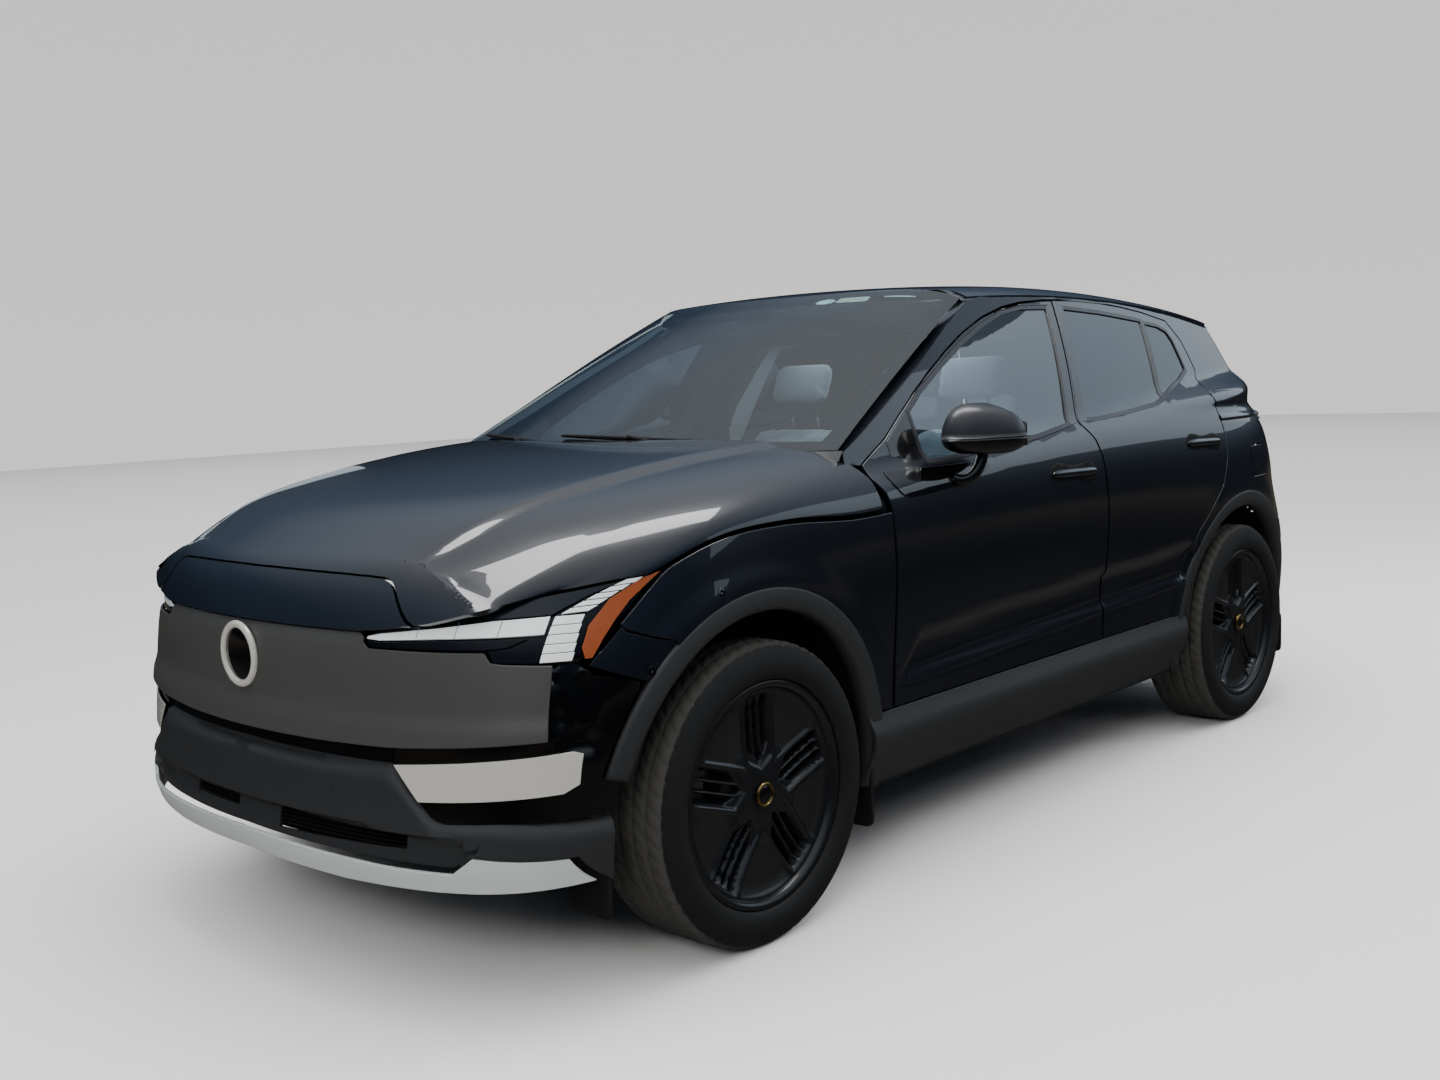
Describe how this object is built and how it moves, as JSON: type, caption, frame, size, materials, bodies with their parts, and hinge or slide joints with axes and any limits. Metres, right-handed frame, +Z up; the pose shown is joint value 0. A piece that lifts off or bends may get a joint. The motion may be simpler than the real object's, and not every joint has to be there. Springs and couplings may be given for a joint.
{
  "type": "electric crossover",
  "caption": "Compact five-door electric crossover with opening doors, hood, tailgate and charge flap, steered front wheels and a modelled cabin.",
  "frame": {"origin": "on the ground, at the middle of the car's length and width", "axes": "+X towards the nose, +Y towards the car's left side, +Z up"},
  "size_m": [4.233, 2.043, 1.5999],
  "materials": {
    "paint": "gloss",
    "gloss_black": "gloss",
    "charcoal": "satin",
    "panel_grey": "satin",
    "silver": "satin",
    "front_glass": "gloss",
    "dark_glass": "gloss",
    "lamp": "gloss",
    "red_lamp": "gloss",
    "rim": "gloss",
    "tyre": "matt",
    "iron": "matt",
    "aluminium": "satin",
    "steel": "matt",
    "trim": "matt",
    "seat_fabric": "matt",
    "liner": "matt"
  },
  "bodies": {
    "body": {"body_side_left": "paint", "body_side_right": "paint", "roof": "gloss_black", "windshield": "front_glass", "front_fender_left": "paint", "front_fender_right": "paint", "quarter_left": "paint", "quarter_right": "paint", "shield_panel": "panel_grey", "headlamps": "lamp", "bumper_corners": "paint", "front_bumper": "charcoal", "front_skid_plate": "silver", "rear_bumper": "charcoal", "rear_skid_plate": "silver", "tail_lamps": "red_lamp", "arch_claddings": "charcoal", "sill_claddings": "charcoal", "front_structure": "steel", "floor_pan": "steel", "wheel_liners": "liner", "front_subframe": "steel", "rear_axle": "iron", "battery_pack": "steel", "drive_motor": "aluminium", "dashboard": "trim", "front_seat_left": "seat_fabric", "front_seat_right": "seat_fabric", "rear_seat": "seat_fabric"},
    "hood": {"hood": "paint"},
    "tailgate": {"tailgate": "paint", "rear_window": "dark_glass", "roof_spoiler": "gloss_black"},
    "charge_flap": {"charge_flap": "paint"},
    "steering_wheel": {"steering_wheel": "trim"},
    "front_door_left": {"front_door_left": "paint", "front_door_glass_left": "front_glass", "door_mirror_left": "charcoal"},
    "rear_door_left": {"rear_door_left": "paint", "rear_door_glass_left": "dark_glass"},
    "knuckle_left": {"knuckle_left": "iron"},
    "front_wheel_left": {"front_rim_left": "rim", "front_tyre_left": "tyre"},
    "rear_wheel_left": {"rear_rim_left": "rim", "rear_tyre_left": "tyre"},
    "front_door_right": {"front_door_right": "paint", "front_door_glass_right": "front_glass", "door_mirror_right": "charcoal"},
    "rear_door_right": {"rear_door_right": "paint", "rear_door_glass_right": "dark_glass"},
    "knuckle_right": {"knuckle_right": "iron"},
    "front_wheel_right": {"front_rim_right": "rim", "front_tyre_right": "tyre"},
    "rear_wheel_right": {"rear_rim_right": "rim", "rear_tyre_right": "tyre"}
  },
  "joints": [
    {"name": "front_door_left_hinge", "type": "hinge", "parent": "body", "child": "front_door_left", "pos_m": [0.69, 0.893, 0.75], "axis": [0, 0, -1], "range_deg": [0, 65]},
    {"name": "rear_door_left_hinge", "type": "hinge", "parent": "body", "child": "rear_door_left", "pos_m": [-0.397, 0.895, 0.75], "axis": [0, 0, -1], "range_deg": [0, 65]},
    {"name": "steering_left", "type": "hinge", "parent": "body", "child": "knuckle_left", "pos_m": [1.2815, 0.735, 0.359], "axis": [0, 0, 1], "range_deg": [-35, 35]},
    {"name": "front_wheel_left_spin", "type": "hinge", "parent": "knuckle_left", "child": "front_wheel_left", "pos_m": [1.2815, 0.795, 0.359], "axis": [0, 1, 0], "continuous": true},
    {"name": "rear_wheel_left_spin", "type": "hinge", "parent": "body", "child": "rear_wheel_left", "pos_m": [-1.3685, 0.795, 0.359], "axis": [0, 1, 0], "continuous": true},
    {"name": "front_door_right_hinge", "type": "hinge", "parent": "body", "child": "front_door_right", "pos_m": [0.69, -0.893, 0.75], "axis": [0, 0, 1], "range_deg": [0, 65]},
    {"name": "rear_door_right_hinge", "type": "hinge", "parent": "body", "child": "rear_door_right", "pos_m": [-0.397, -0.895, 0.75], "axis": [0, 0, 1], "range_deg": [0, 65]},
    {"name": "steering_right", "type": "hinge", "parent": "body", "child": "knuckle_right", "pos_m": [1.2815, -0.735, 0.359], "axis": [0, 0, 1], "range_deg": [-35, 35]},
    {"name": "front_wheel_right_spin", "type": "hinge", "parent": "knuckle_right", "child": "front_wheel_right", "pos_m": [1.2815, -0.795, 0.359], "axis": [0, 1, 0], "continuous": true},
    {"name": "rear_wheel_right_spin", "type": "hinge", "parent": "body", "child": "rear_wheel_right", "pos_m": [-1.3685, -0.795, 0.359], "axis": [0, 1, 0], "continuous": true},
    {"name": "hood_hinge", "type": "hinge", "parent": "body", "child": "hood", "pos_m": [0.72, 0, 1.13], "axis": [0, -1, 0], "range_deg": [0, 55]},
    {"name": "tailgate_hinge", "type": "hinge", "parent": "body", "child": "tailgate", "pos_m": [-1.672, 0, 1.517], "axis": [0, 1, 0], "range_deg": [0, 80]},
    {"name": "charge_flap_hinge", "type": "hinge", "parent": "body", "child": "charge_flap", "pos_m": [-1.456, 0.9155, 0.946], "axis": [0, 0, -1], "range_deg": [0, 90]},
    {"name": "steering_wheel_turn", "type": "hinge", "parent": "body", "child": "steering_wheel", "pos_m": [0.43, 0.372, 0.905], "axis": [-0.9135, 0, 0.4067], "range_deg": [-460, 460]}
  ],
  "couplings": [
    {"joint": "steering_right", "follows": "steering_left", "ratio": 1},
    {"joint": "steering_wheel_turn", "follows": "steering_left", "ratio": 13}
  ]
}
